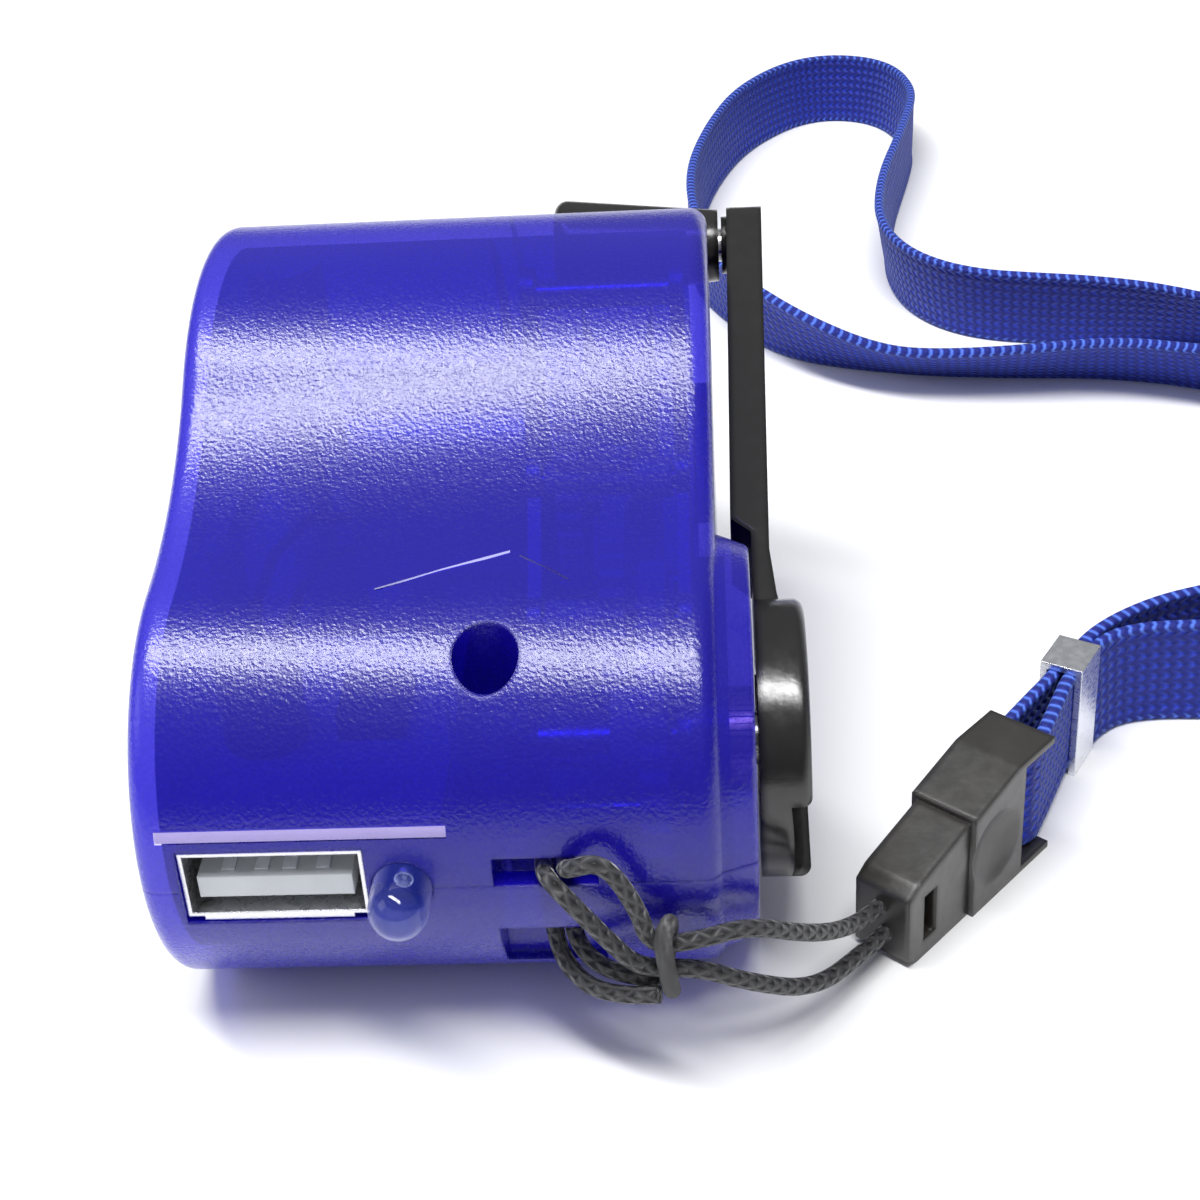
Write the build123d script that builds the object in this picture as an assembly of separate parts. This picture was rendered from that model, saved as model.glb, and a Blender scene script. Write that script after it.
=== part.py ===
from build123d import *
import os
from math import sin, cos, tan, acos, atan2, hypot, sqrt, radians, degrees, pi

# Hand crank phone charger: a two-lobed case with a folding crank on its right side.
# X runs across the case (+X is the crank side), -Y is the face with the socket and
# the lamp, +Z is up.  The origin is the middle of the flat base.  Millimetres.

# ---- case -------------------------------------------------------------------
WIDTH = 41.5            # across the case without the boss
HALF = WIDTH / 2
LOBE_GAP = 31.0         # between the two lobe centres, and the length of the flat base
FRONT_R = 16.5
REAR_R = 22.5
VALLEY_R = 35.0
WALL = 1.8
EDGE_R = 1.5
AXIS_Y = -LOBE_GAP / 2  # the crank axis is the centre of the front lobe
AXIS_Z = FRONT_R
REAR_Y = LOBE_GAP / 2
REAR_Z = REAR_R
SEAM_FRONT_Z = FRONT_R
SEAM_REAR_Z = REAR_R
SEAM_Y0 = -3.5
SEAM_Y1 = 6.5
RELIEF_X = 3.8          # right of this the back of the case is cut to clear the knob
BOSS_R0 = 15.8
BOSS_R1 = 14.6
BOSS_X = 23.2
RECESS_R = 13.9
BUSH_R = 4.0
BUSH_RING = 5.6
FIT = 0.05              # radial running clearance
GAP = 0.3               # between faces that pass each other

# ---- socket, lamp and board --------------------------------------------------
USB_X = -11.0
USB_Z = 16.75
USB_W = 13.1
USB_H = 5.7
USB_T = 0.3
USB_MOUTH = -31.5
USB_DEEP = 13.0
LAMP_X = -1.85
LAMP_Z = 16.5
LAMP_R = 2.15
LAMP_BACK = -28.5
LAMP_DOME = -34.3
BOARD_Z = USB_Z + USB_H / 2
BOARD_T = 1.0
BOARD_X0 = -18.5
BOARD_X1 = 1.0
BOARD_Y0 = -29.3
BOARD_Y1 = -6.0

# ---- screws and their columns ------------------------------------------------
COLUMN_R = 3.2
WELL_R = 2.35
HEAD_R = 2.0
HEAD_H = 1.4
SHANK_R = 0.95
PASS_R = 1.1
FRONT_SCREW = (4.6, -24.0)
FRONT_LEDGE = 18.5
REAR_SCREWS = [(-14.5, REAR_Y + 1.0), (12.5, REAR_Y + 11.3)]
REAR_LEDGE = 14.0
REAR_SCREW_TOP = SEAM_REAR_Z + 4.0

# ---- lanyard eye -------------------------------------------------------------
EYE_X0 = 4.6
EYE_X1 = 12.0
EYE_Z0 = 6.5
EYE_Z1 = 18.8
EYE_BACK = -27.7
BRIDGE_Z0 = 12.0
BRIDGE_Z1 = 16.4
BRIDGE_T = 1.7

# ---- crank -------------------------------------------------------------------
HUB_R = 10.5
HUB_X0 = BOSS_X + GAP
HUB_X1 = 27.2
HUB_EDGE = 0.8
PIN_X = 25.75
PIN_R = 0.6
PIN_HALF = 8.6
LUG_R = 1.2
REST = 19.0             # the arm rests this many degrees above the level
ARM_W = 9.0
ARM_TIP_R = 3.4
SLOT_SIDE = 0.25
AXLE_R = 2.0
AXLE_X0 = 5.0
WEB_X = 24.3
KNOB_X0 = 6.7
KNOB_X1 = 21.7
KNOB_R0 = 4.75
KNOB_R1 = 3.25
COLLAR_R = 2.6
COLLAR_X = KNOB_X1 + 0.3
SHOULDER_R = 1.5
KNOB_HEAD_R = 2.3
KNOB_HEAD_H = 1.5
KNOB_FLOOR = 9.4

# ---- gear train --------------------------------------------------------------
PRESSURE = radians(25.0)
ADD = 0.85
DED = 1.15
THIN = 0.08             # taken off each tooth at the pitch circle
M1 = 0.6
M2 = 0.5
DRIVE_N = 44
PINION_1 = 11
WHEEL_1 = 40
PINION_2 = 10
WHEEL_2 = 36
PINION_3 = 9
G0 = (AXIS_Y, AXIS_Z)
G1 = (AXIS_Y + M1 * (DRIVE_N + PINION_1) / 2, AXIS_Z)
G3 = (REAR_Y + 5.0, REAR_Z - 2.5)
LAYER_A = (15.0, 17.0)
LAYER_B = (11.5, 13.5)
LAYER_C = (8.0, 10.0)
INNER_PLATE = (5.0, 6.2)
OUTER_PLATE = (17.5, 18.65)
GEAR_AXLE_R = 0.9
PILLARS = [(-7.25, 3.2), (REAR_Y + 4.5, 8.0), (REAR_Y + 2.5, REAR_Z + REAR_R - 6.5)]
PILLAR_R = 1.2

# ---- generator ---------------------------------------------------------------
CAN_R = 9.8
CAN_T = 0.8
CAN_X0 = -9.5
CAN_X1 = INNER_PLATE[0]
CAP_T = 1.2
COIL_R0 = CAN_R - 4.2
COIL_R1 = CAN_R - CAN_T
MAGNET_R = COIL_R0 - 0.6
SHAFT_R = 0.75
# the case's back clears the can, and the arm is long enough for the knob to clear the back
RELIEF_R = hypot(G3[0] - G0[0], G3[1] - G0[1]) + CAN_R + WALL + 0.23
ARM_S = RELIEF_R + KNOB_R0 + 2.25

# ---- lanyard -----------------------------------------------------------------
CORD_R = 0.65
STRAP_W = 9.6
STRAP_T = 1.2
BUCKLE_AT = (32.6, -22.0)
BUCKLE_TURN = 50.0
CLIP_LEN = 8.0
BUCKLE_LEN = 19.0
BUCKLE_H = 11.2
BUCKLE_HALF = 3.0
BAR_AT = 17.9
BAR_R = 1.0
CRIMP_AT = (50.2, 2.6)
LAYER = STRAP_T / 2 + 0.03   # the two layers in the crimp lie this far off its middle
STRAP_Z = 0.7                # the strap's lower edge where it goes through the buckle
WIDEST = 1000.0              # a wanted bend radius: as wide as the two runs allow
BAR_XY = (BUCKLE_AT[0] + BAR_AT * cos(radians(BUCKLE_TURN)),
          BUCKLE_AT[1] + BAR_AT * sin(radians(BUCKLE_TURN)))


def circle_meet(a, ra, b, rb, side):
    """The point at ra from a and rb from b, on the left (+1) or right (-1) of a-b."""
    dx = b[0] - a[0]
    dy = b[1] - a[1]
    d = sqrt(dx * dx + dy * dy)
    along = (ra * ra - rb * rb + d * d) / (2 * d)
    off = sqrt(ra * ra - along * along) * side
    x = a[0] + (dx * along - dy * off) / d
    y = a[1] + (dy * along + dx * off) / d
    return (x, y)


VALLEY = circle_meet((AXIS_Y, AXIS_Z), FRONT_R + VALLEY_R, (REAR_Y, REAR_Z), REAR_R + VALLEY_R, 1)
G2 = circle_meet(G1, M2 * (WHEEL_1 + PINION_2) / 2, G3, M2 * (WHEEL_2 + PINION_3) / 2, 1)


def box(x0, x1, y0, y1, z0, z1):
    return Pos((x0 + x1) / 2, (y0 + y1) / 2, (z0 + z1) / 2) * Box(x1 - x0, y1 - y0, z1 - z0)


def rod_x(r, x0, x1, at):
    return Pos((x0 + x1) / 2, at[0], at[1]) * Rot(0, 90, 0) * Cylinder(r, x1 - x0)


def cone_x(r0, r1, x0, x1, at):
    return Pos((x0 + x1) / 2, at[0], at[1]) * Rot(0, 90, 0) * Cone(r0, r1, x1 - x0)


def rod_y(r, y0, y1, x, z):
    return Pos(x, (y0 + y1) / 2, z) * Rot(90, 0, 0) * Cylinder(r, y1 - y0)


def rod_z(r, z0, z1, x, y):
    return Pos(x, y, (z0 + z1) / 2) * Cylinder(r, z1 - z0)


def prism_x(points, x0, x1):
    """A polygon of (y, z) points, extruded along X."""
    face = make_face(Polyline(*[(0, p[0], p[1]) for p in points], close=True))
    return Pos(x0, 0, 0) * extrude(face, amount=x1 - x0, dir=(1, 0, 0))


def on_circle(centre, r, angle):
    return (centre[0] + r * cos(angle), centre[1] + r * sin(angle))


def lobes(inset, x0, x1):
    """The side outline of the case, moved in by inset, extruded from x0 to x1."""
    r1 = FRONT_R - inset
    r2 = REAR_R - inset
    rv = VALLEY_R + inset
    a1 = atan2(VALLEY[1] - AXIS_Z, VALLEY[0] - AXIS_Y)
    a2 = atan2(VALLEY[1] - REAR_Z, VALLEY[0] - REAR_Y)
    t1 = on_circle((AXIS_Y, AXIS_Z), r1, a1)
    t2 = on_circle((REAR_Y, REAR_Z), r2, a2)
    vm = on_circle(VALLEY, rv, (a1 + a2) / 2 + pi)
    b1 = (AXIS_Y, inset)
    b2 = (REAR_Y, inset)
    front = (AXIS_Y - r1, AXIS_Z)
    rear = (REAR_Y + r2, REAR_Z)
    arcs = [ThreePointArc(*[(0, p[0], p[1]) for p in (b1, front, t1)])]
    arcs.append(ThreePointArc(*[(0, p[0], p[1]) for p in (t1, vm, t2)]))
    arcs.append(ThreePointArc(*[(0, p[0], p[1]) for p in (t2, rear, b2)]))
    arcs.append(Line((0, b2[0], b2[1]), (0, b1[0], b1[1])))
    return Pos(x0, 0, 0) * extrude(make_face(arcs), amount=x1 - x0, dir=(1, 0, 0))


def knob_relief(x0, r):
    """Everything right of x0 that lies further than r from the crank axis."""
    return box(x0, 40, -5, 60, -20, 70) - rod_x(r, x0 - 1, 41, G0)


def case_body():
    body = lobes(0, -HALF, HALF)
    sides = body.edges().filter_by(lambda e: abs(abs(e.center().X) - HALF) < 0.01)
    body = fillet(sides, EDGE_R)
    return body - knob_relief(RELIEF_X, RELIEF_R)


def columns():
    posts = [rod_z(COLUMN_R, -5, 60, x, y) for x, y in [FRONT_SCREW] + REAR_SCREWS]
    posts.append(box(-15, -7, -28, -20, 0, USB_Z - USB_H / 2))
    saddle = box(-7, 2, G3[0] - 8, G3[0] + 8, 0, G3[1] - 6) - rod_x(CAN_R, -8, 3, G3)
    posts.append(saddle)
    top = BOARD_Z + BOARD_T
    for x, y in [(-16.5, -10.0), (-1.5, -9.0)]:
        posts.append(rod_z(1.5, top, 60, x, y))
    return posts


def screw_holes():
    x, y = FRONT_SCREW
    cuts = [rod_z(WELL_R, FRONT_LEDGE, 60, x, y)]
    cuts.append(rod_z(PASS_R, SEAM_FRONT_Z, FRONT_LEDGE, x, y))
    cuts.append(rod_z(SHANK_R, 7, SEAM_FRONT_Z, x, y))
    for x, y in REAR_SCREWS:
        cuts.append(rod_z(WELL_R, -5, REAR_LEDGE, x, y))
        cuts.append(rod_z(PASS_R, REAR_LEDGE, SEAM_REAR_Z, x, y))
        cuts.append(rod_z(SHANK_R, SEAM_REAR_Z, SEAM_REAR_Z + 5, x, y))
    return cuts


def bridge():
    ring = rod_x(FRONT_R, EYE_X0 - 0.5, EYE_X1 + 0.5, G0) - rod_x(FRONT_R - BRIDGE_T, 0, 20, G0)
    return ring & box(EYE_X0 - 0.5, EYE_X1 + 0.5, -40, AXIS_Y, BRIDGE_Z0, BRIDGE_Z1)


def whole_case():
    body = case_body()
    boss = cone_x(BOSS_R0, BOSS_R1, HALF - 0.5, BOSS_X, G0)
    outer_rim = boss.edges().filter_by(lambda e: e.center().X > BOSS_X - 0.01)
    boss = fillet(outer_rim, 0.5)
    cavity = lobes(WALL, -HALF + WALL, HALF - WALL) - knob_relief(RELIEF_X - WALL, RELIEF_R - WALL)
    case = body - cavity
    pocket = box(EYE_X0 - 1, EYE_X1 + 1, -40, EYE_BACK + 1, EYE_Z0 - 1, EYE_Z1 + 1)
    for piece in columns() + [pocket]:
        case = case + (piece & body)
    case = case + boss
    case = case - (rod_x(RECESS_R, HALF - WALL, HALF + 0.65, G0)
                   - rod_x(BUSH_RING, HALF - 2.75, HALF + 1.25, G0))
    case = case - rod_x(BUSH_R, HALF - 2.75, BOSS_X + 0.8, G0)
    for cut in screw_holes():
        case = case - cut
    case = case - box(USB_X - 6.65, USB_X + 6.65, -36, -28.2, 13.4, 19.8)
    case = case - rod_y(LAMP_R + FIT, -36, -28.2, LAMP_X, LAMP_Z)
    case = case - box(EYE_X0, EYE_X1, -40, EYE_BACK, EYE_Z0, EYE_Z1)
    return case + bridge()


def below_seam():
    points = [(-60, -9), (-60, SEAM_FRONT_Z), (SEAM_Y0, SEAM_FRONT_Z), (SEAM_Y1, SEAM_REAR_Z)]
    points += [(60, SEAM_REAR_Z), (60, -9)]
    return prism_x(points, -40, 40)


def cross(size, depth, x, y, z, up):
    """A cross recess of the given size, cut downward (up=1) or upward (up=-1) from z."""
    z0 = z - depth if up > 0 else z - 1
    z1 = z + 1 if up > 0 else z + depth
    return box(x - size, x + size, y - 0.25, y + 0.25, z0, z1) + box(
        x - 0.25, x + 0.25, y - size, y + size, z0, z1)


def case_screws():
    x, y = FRONT_SCREW
    top = FRONT_LEDGE + HEAD_H
    screw = rod_z(HEAD_R, FRONT_LEDGE, top, x, y) + rod_z(SHANK_R, 8, FRONT_LEDGE, x, y)
    out = [screw - cross(1.2, 0.8, x, y, top, 1)]
    for x, y in REAR_SCREWS:
        low = REAR_LEDGE - HEAD_H
        screw = rod_z(HEAD_R, low, REAR_LEDGE, x, y) + rod_z(SHANK_R, REAR_LEDGE, REAR_SCREW_TOP, x, y)
        out.append(screw - cross(1.2, 0.8, x, y, low, -1))
    return out


# ---- socket, lamp, board -----------------------------------------------------
def usb_shell():
    y1 = USB_MOUTH + USB_DEEP
    x0 = USB_X - USB_W / 2
    x1 = USB_X + USB_W / 2
    z0 = USB_Z - USB_H / 2
    z1 = USB_Z + USB_H / 2
    shell = box(x0, x1, USB_MOUTH, y1, z0, z1)
    shell = shell - box(x0 + USB_T, x1 - USB_T, USB_MOUTH - 1, y1 + 1, z0 + USB_T, z1 - USB_T)
    lip = box(USB_X - 5.4, USB_X + 5.4, USB_MOUTH, USB_MOUTH + 0.3, z0 - 0.35, z0)
    return shell + lip


def usb_tongue():
    z0 = USB_Z - 1.4
    blade = box(USB_X - 5.55, USB_X + 5.55, USB_MOUTH + 0.4, USB_MOUTH + 12, z0, z0 + 1.84)
    half_w = USB_W / 2 - USB_T
    half_h = USB_H / 2 - USB_T
    block = box(USB_X - half_w, USB_X + half_w, USB_MOUTH + 11, USB_MOUTH + USB_DEEP,
                USB_Z - half_h, USB_Z + half_h)
    return blade + block


def usb_contacts():
    z0 = USB_Z - 1.4 + 1.84
    out = []
    for dx in (-3.4, -1.0, 1.0, 3.4):
        x = USB_X + dx
        out.append(box(x - 0.5, x + 0.5, USB_MOUTH + 1.0, USB_MOUTH + 11, z0, z0 + 0.2))
    return out


def led_lens():
    body = rod_y(LAMP_R, LAMP_DOME, LAMP_BACK, LAMP_X, LAMP_Z)
    return body + Pos(LAMP_X, LAMP_DOME, LAMP_Z) * Sphere(LAMP_R)


def led_leads():
    out = []
    for dx in (-1.27, 1.27):
        x = LAMP_X + dx
        back = box(x - 0.25, x + 0.25, LAMP_BACK, LAMP_BACK + 2.5, LAMP_Z - 0.25, LAMP_Z + 0.25)
        rise = box(x - 0.25, x + 0.25, LAMP_BACK + 2, LAMP_BACK + 2.5, LAMP_Z - 0.25, BOARD_Z)
        out.append(back + rise)
    return out


def circuit_board():
    return box(BOARD_X0, BOARD_X1, BOARD_Y0, BOARD_Y1, BOARD_Z, BOARD_Z + BOARD_T)


def capacitor():
    z0 = BOARD_Z + BOARD_T
    can = rod_z(3.15, z0, z0 + 7, -13.0, -19.0)
    return fillet(can.edges().filter_by(lambda e: e.center().Z > z0 + 6.9), 0.5)


def regulator():
    z0 = BOARD_Z + BOARD_T
    return box(-7.5, -2.5, -20, -14, z0, z0 + 2.2) + box(-7.5, -2.5, -14, -12.5, z0, z0 + 0.5)


# ---- gears -------------------------------------------------------------------
def gear(teeth, module, phase, at, x0, x1):
    """An involute gear; phase is the direction in degrees of one tooth, Y towards Z."""
    r = module * teeth / 2
    rb = r * cos(PRESSURE)
    ra = r + ADD * module
    rf = r - DED * module
    half = pi / (2 * teeth) - THIN / (2 * r) + tan(PRESSURE) - PRESSURE
    start = max(rb, rf)
    flank = []
    if rf < rb:
        flank.append((rf, half))
    for k in range(5):
        rho = start + (ra - start) * k / 4
        roll = acos(min(1.0, rb / rho))
        flank.append((rho, half - tan(roll) + roll))
    points = []
    for i in range(teeth):
        mid = radians(phase) + 2 * pi * i / teeth
        for rho, a in flank:
            points.append(on_circle(at, rho, mid - a))
        for rho, a in reversed(flank):
            points.append(on_circle(at, rho, mid + a))
    return prism_x(points, x0, x1)


def mesh_phase(a, teeth_a, phase_a, b, teeth_b):
    """The phase that puts gear b in mesh with gear a."""
    beta = degrees(atan2(b[1] - a[1], b[0] - a[0]))
    u = (beta - phase_a) * teeth_a / 360.0
    return beta + 180.0 - (0.5 - u) * 360.0 / teeth_b


PHASE_1 = mesh_phase(G0, DRIVE_N, 0.0, G1, PINION_1)
PHASE_2 = mesh_phase(G1, WHEEL_1, 0.0, G2, PINION_2)
PHASE_3 = mesh_phase(G2, WHEEL_2, 0.0, G3, PINION_3)


def drive_gear():
    wheel = gear(DRIVE_N, M1, 0.0, G0, *LAYER_A) + rod_x(4.2, 12.5, 15.0, G0)
    return wheel - rod_x(AXLE_R, 12, 18, G0)


def first_gear():
    wheel = gear(WHEEL_1, M2, 0.0, G1, *LAYER_B)
    pinion = gear(PINION_1, M1, PHASE_1, G1, LAYER_B[1], 17.2)
    sleeve = rod_x(2.0, 6.5, LAYER_B[0], G1)
    return wheel + pinion + sleeve - rod_x(GEAR_AXLE_R + FIT, 5, 19, G1)


def second_gear():
    wheel = gear(WHEEL_2, M2, 0.0, G2, *LAYER_C)
    pinion = gear(PINION_2, M2, PHASE_2, G2, LAYER_C[1], 13.8)
    sleeves = rod_x(1.7, 6.5, LAYER_C[0], G2) + rod_x(1.7, 13.8, 17.2, G2)
    return wheel + pinion + sleeves - rod_x(GEAR_AXLE_R + FIT, 5, 19, G2)


def rotor_pinion():
    return gear(PINION_3, M2, PHASE_3, G3, 7.7, 10.3) - rod_x(SHAFT_R, 7, 11, G3)


def link(a, b, half, x0, x1):
    dy = b[0] - a[0]
    dz = b[1] - a[1]
    d = sqrt(dy * dy + dz * dz)
    ny = -dz / d * half
    nz = dy / d * half
    points = [(a[0] + ny, a[1] + nz), (b[0] + ny, b[1] + nz)]
    points += [(b[0] - ny, b[1] - nz), (a[0] - ny, a[1] - nz)]
    return prism_x(points, x0, x1)


def skeleton(pads, pairs, layer):
    x0, x1 = layer
    plate = rod_x(3.4, x0, x1, pads[0])
    for p in pads[1:]:
        plate = plate + rod_x(2.4, x0, x1, p)
    for i, j in pairs:
        plate = plate + link(pads[i], pads[j], 1.5, x0, x1)
    return plate & lobes(WALL, x0 - 1, x1 + 1)


def inner_gear_plate():
    pads = [G0, G1, G2, G3] + PILLARS
    pairs = [(0, 1), (1, 2), (2, 3), (0, 4), (1, 4), (1, 5), (3, 5), (2, 6), (3, 6)]
    plate = skeleton(pads, pairs, INNER_PLATE)
    plate = plate - rod_x(AXLE_R + FIT, 4, 7, G0)
    for p in (G1, G2):
        plate = plate - rod_x(GEAR_AXLE_R, 4, 7, p)
    return plate - rod_x(SHAFT_R + FIT, 4, 7, G3)


def outer_gear_plate():
    pads = [G0, G1, G2] + PILLARS
    pairs = [(0, 1), (1, 2), (0, 3), (1, 3), (1, 4), (2, 4), (2, 5)]
    plate = skeleton(pads, pairs, OUTER_PLATE)
    plate = plate - rod_x(AXLE_R + FIT, 17, 19, G0)
    for p in (G1, G2):
        plate = plate - rod_x(GEAR_AXLE_R, 17, 19, p)
    return plate


def plate_pillars():
    return [rod_x(PILLAR_R, INNER_PLATE[1], OUTER_PLATE[0], p) for p in PILLARS]


def gear_axles():
    return [rod_x(GEAR_AXLE_R, INNER_PLATE[0], OUTER_PLATE[1], p) for p in (G1, G2)]


# ---- generator ---------------------------------------------------------------
def generator_can():
    can = rod_x(CAN_R, CAN_X0, CAN_X1, G3) - rod_x(COIL_R1, CAN_X0 - 1, CAN_X1 - CAN_T, G3)
    return can - rod_x(2.0, CAN_X1 - 2, CAN_X1 + 1, G3)


def generator_end_cap():
    cap = rod_x(CAN_R, CAN_X0 - CAP_T, CAN_X0, G3)
    return cap - rod_x(SHAFT_R + FIT, CAN_X0 - 3, CAN_X0 + 1, G3)


def stator_coils():
    x0 = CAN_X0 + 1.2
    x1 = CAN_X1 - CAN_T - 1.2
    ring = rod_x(COIL_R1, x0, x1, G3) - rod_x(COIL_R0, x0 - 1, x1 + 1, G3)
    out = []
    for k in range(6):
        a = radians(60 * k + 30)
        tip = (G3[0] + 12 * cos(a), G3[1] + 12 * sin(a))
        out.append(ring & link(G3, tip, 2.2, x0 - 1, x1 + 1))
    return out


def rotor_magnet():
    body = rod_x(MAGNET_R, CAN_X0 + 1.6, CAN_X1 - CAN_T - 1.6, G3)
    return body - rod_x(SHAFT_R, CAN_X0, CAN_X1, G3)


def rotor_shaft():
    return rod_x(SHAFT_R, CAN_X0 - CAP_T - 0.4, 11.0, G3)


# ---- crank -------------------------------------------------------------------
CRANK = Plane(origin=(0, AXIS_Y, AXIS_Z), x_dir=(0, cos(radians(REST)), sin(radians(REST))),
              z_dir=(1, 0, 0))


def side_prism(points, half):
    """A polygon of (s, x) points, extruded to both sides across the arm."""
    face = make_face(Polyline(*[(p[0], 0, p[1]) for p in points], close=True))
    return Pos(0, -half, 0) * extrude(face, amount=2 * half, dir=(0, 1, 0))


def local_rod(r, x0, x1, s):
    return Pos(s, 0, (x0 + x1) / 2) * Cylinder(r, x1 - x0)


def cross_rod(r, half):
    """A rod across the arm through the fold pin's axis."""
    return Pos(0, 0, PIN_X) * Rot(90, 0, 0) * Cylinder(r, 2 * half)


def crank_hub():
    disc = local_rod(HUB_R, HUB_X0, HUB_X1, 0)
    disc = fillet(disc.edges().filter_by(lambda e: e.center().Z > HUB_X1 - 0.01), HUB_EDGE)
    slot = [(-12, 26.1), (-10.5, 25.85), (-3, 24.6), (-2.4, WEB_X), (3, WEB_X)]
    slot += [(3, HUB_X0 - 1), (12, HUB_X0 - 1), (12, HUB_X1 + 1), (-12, HUB_X1 + 1)]
    disc = disc - side_prism(slot, ARM_W / 2 + SLOT_SIDE)
    disc = disc - cross_rod(PIN_R, PIN_HALF) - local_rod(AXLE_R, HUB_X0 - 1, WEB_X + 0.5, 0)
    return CRANK.location * disc


def crank_axle():
    return rod_x(AXLE_R, AXLE_X0, WEB_X, G0)


def hub_pin():
    return CRANK.location * cross_rod(PIN_R, PIN_HALF)


def crank_arm():
    side = [(0, PIN_X - LUG_R), (3, 24.5), (10, 23.55), (16.8, 23.55), (18.3, 21.95)]
    side += [(59, 22.55), (59, 25.75), (15, 24.95), (10.5, 25.35), (3, 26.6), (0, PIN_X + LUG_R)]
    bar = side_prism(side, ARM_W / 2) + cross_rod(LUG_R, ARM_W / 2)
    outline = Polyline((-2, -ARM_W / 2, 0), (10.5, -ARM_W / 2, 0), (ARM_S, -ARM_TIP_R, 0),
                       (ARM_S, ARM_TIP_R, 0), (10.5, ARM_W / 2, 0), (-2, ARM_W / 2, 0), close=True)
    plan = Pos(0, 0, 20) * extrude(make_face(outline), amount=8, dir=(0, 0, 1))
    plan = plan + local_rod(ARM_TIP_R, 20, 28, ARM_S)
    arm = (bar & plan) + local_rod(COLLAR_R, COLLAR_X, 23.5, ARM_S)
    arm = arm - cross_rod(PIN_R + FIT, 10) - local_rod(1.0, COLLAR_X - 1, 25.0, ARM_S)
    return CRANK.location * arm


def knob_screw():
    head = local_rod(KNOB_HEAD_R, KNOB_FLOOR - GAP - KNOB_HEAD_H, KNOB_FLOOR - GAP, ARM_S)
    slot = Pos(ARM_S, 0, KNOB_FLOOR - GAP - KNOB_HEAD_H) * Box(2.6, 0.6, 1.4)
    slot = slot + Pos(ARM_S, 0, KNOB_FLOOR - GAP - KNOB_HEAD_H) * Box(0.6, 2.6, 1.4)
    shoulder = local_rod(SHOULDER_R, KNOB_FLOOR - GAP, COLLAR_X, ARM_S)
    thread = local_rod(1.0, COLLAR_X, 25.0, ARM_S)
    return CRANK.location * (head + shoulder + thread - slot)


def crank_knob():
    grip = Pos(ARM_S, 0, (KNOB_X0 + KNOB_X1) / 2) * Cone(KNOB_R0, KNOB_R1, KNOB_X1 - KNOB_X0)
    free = grip.edges().filter_by(lambda e: e.center().Z < KNOB_X0 + 0.01)
    grip = fillet(free, 1.2)
    grip = grip - local_rod(SHOULDER_R + FIT, KNOB_X0 - 1, KNOB_X1 + 1, ARM_S)
    grip = grip - local_rod(KNOB_HEAD_R + GAP, KNOB_X0 - 1, KNOB_FLOOR, ARM_S)
    return CRANK.location * grip


# ---- cords, straps and buckle ------------------------------------------------
def rounded(points, wanted):
    """A wire of straight runs joined by tangent arcs of the wanted radius."""
    pts = [Vector(*p) for p in points]
    edges = []
    at = pts[0]
    for i in range(1, len(pts) - 1):
        u = (pts[i] - pts[i - 1]).normalized()
        v = (pts[i + 1] - pts[i]).normalized()
        turn = acos(max(-1.0, min(1.0, u.dot(v))))
        room = 0.45 * min((pts[i] - pts[i - 1]).length, (pts[i + 1] - pts[i]).length)
        r = min(wanted, room / tan(turn / 2))
        t = r * tan(turn / 2)
        inward = (v - u).normalized()
        centre = pts[i] + inward * (r / cos(turn / 2))
        first = pts[i] - u * t
        last = pts[i] + v * t
        edges.append(Line(at, first))
        edges.append(ThreePointArc(first, centre - inward * r, last))
        print("   turn %.0f deg, radius %.2f" % (degrees(turn), r))
        at = last
    edges.append(Line(at, pts[-1]))
    return Wire([e.edge() for e in edges])


def tube(points, r, wanted):
    route = rounded(points, wanted)
    start = Vector(*points[0])
    toward = (Vector(*points[1]) - start).normalized()
    solid = sweep(Plane(origin=start, z_dir=toward) * Circle(r), path=route)
    length = route.length
    print("  tube length %.1f, volume / (section x length) = %.4f"
          % (length, solid.volume / (pi * r * r * length)))
    return solid


def ribbon(points, wanted, thick, z0, z1):
    """A strap on edge: a plan route of given thickness, extruded from z0 to z1."""
    n = len(points)
    side = {1: [], -1: []}
    radii = []
    for i in range(n):
        dirs = []
        if i > 0:
            dirs.append((Vector(*points[i]) - Vector(*points[i - 1])).normalized())
        if i < n - 1:
            dirs.append((Vector(*points[i + 1]) - Vector(*points[i])).normalized())
        u = dirs[0]
        v = dirs[-1]
        nu = Vector(-u.Y, u.X, 0)
        nv = Vector(-v.Y, v.X, 0)
        miter = (nu + nv) * (thick / 2 / (1 + nu.dot(nv)))
        side[1].append(Vector(*points[i]) + miter)
        side[-1].append(Vector(*points[i]) - miter)
        radii.append(plan_radius(points, i, wanted))
    left = plan_edges(side[1], radii, thick / 2, -1)
    right = plan_edges(side[-1], radii, thick / 2, 1)
    ends = [Line(side[1][0], side[-1][0]), Line(side[1][-1], side[-1][-1])]
    face = make_face(left + right + ends)
    return Pos(0, 0, z0) * extrude(face, amount=z1 - z0, dir=(0, 0, 1))


def plan_turn(points, i):
    u = (Vector(*points[i]) - Vector(*points[i - 1])).normalized()
    v = (Vector(*points[i + 1]) - Vector(*points[i])).normalized()
    return atan2(u.X * v.Y - u.Y * v.X, u.dot(v))


def plan_radius(points, i, wanted):
    if i == 0 or i == len(points) - 1:
        return 0.0
    before = (Vector(*points[i]) - Vector(*points[i - 1])).length
    after = (Vector(*points[i + 1]) - Vector(*points[i])).length
    return min(wanted, 0.45 * min(before, after) / tan(abs(plan_turn(points, i)) / 2))


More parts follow.
